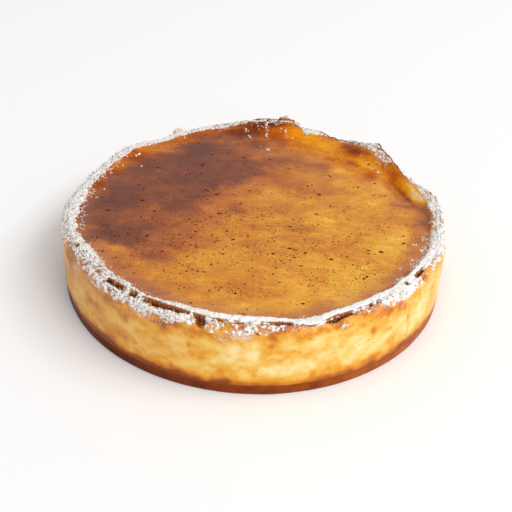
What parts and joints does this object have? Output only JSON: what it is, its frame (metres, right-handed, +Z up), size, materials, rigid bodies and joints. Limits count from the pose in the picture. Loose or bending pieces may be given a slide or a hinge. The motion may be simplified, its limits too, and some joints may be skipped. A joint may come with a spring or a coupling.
{
  "type": "custard flan",
  "caption": "Whole round baked custard flan with a thin pastry base, an upright pastry wall with a crusty uneven rim, and a browned, slightly sunken custard filling.",
  "frame": {"origin": "centre of the flat underside, on the surface that the flan stands on", "axes": "+Z up, -Y towards the viewer of the front, +X to that viewer's right"},
  "size_m": [0.22, 0.22, 0.0472],
  "materials": {
    "brown_pastry": "baked brown pastry, satin",
    "golden_pastry": "golden baked pastry, mottled, satin",
    "baked_custard": "browned custard skin, glossy"
  },
  "bodies": {
    "root": {"pastry_base": "brown_pastry", "pastry_wall": "golden_pastry", "custard": "baked_custard"}
  },
  "joints": []
}
